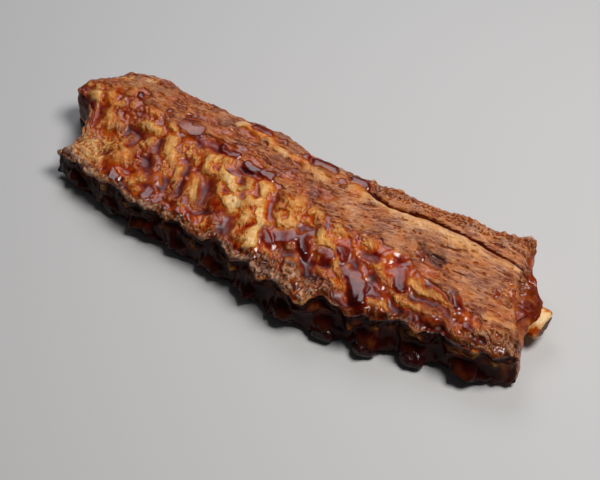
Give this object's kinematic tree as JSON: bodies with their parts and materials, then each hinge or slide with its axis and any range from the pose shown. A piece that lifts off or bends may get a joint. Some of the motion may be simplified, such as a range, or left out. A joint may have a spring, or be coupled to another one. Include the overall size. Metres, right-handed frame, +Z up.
{
  "type": "rack of ribs",
  "caption": "Roast rack of pork loin ribs with a sticky sauce glaze: a slab of meat over a row of slanted, arched rib bones whose ends show along the front.",
  "frame": {"origin": "middle of the underside of the rack's bounding box, on the surface it lies on", "axes": "+X along the rack towards its thick end, +Y to the loin edge, away from the side where the rib ends show, +Z up through the meat side"},
  "size_m": [0.4316, 0.147, 0.0484],
  "materials": {
    "glazed_meat": "browned roast meat and fat under a glossy, uneven sauce glaze",
    "rib_bone": "satin cooked bone, stained by sauce"
  },
  "bodies": {
    "root": {"meat": "glazed_meat", "rib_bone_01": "rib_bone", "rib_bone_02": "rib_bone", "rib_bone_03": "rib_bone", "rib_bone_04": "rib_bone", "rib_bone_05": "rib_bone", "rib_bone_06": "rib_bone", "rib_bone_07": "rib_bone", "rib_bone_08": "rib_bone", "rib_bone_09": "rib_bone", "rib_bone_10": "rib_bone", "rib_bone_11": "rib_bone", "rib_bone_12": "rib_bone"}
  },
  "joints": []
}
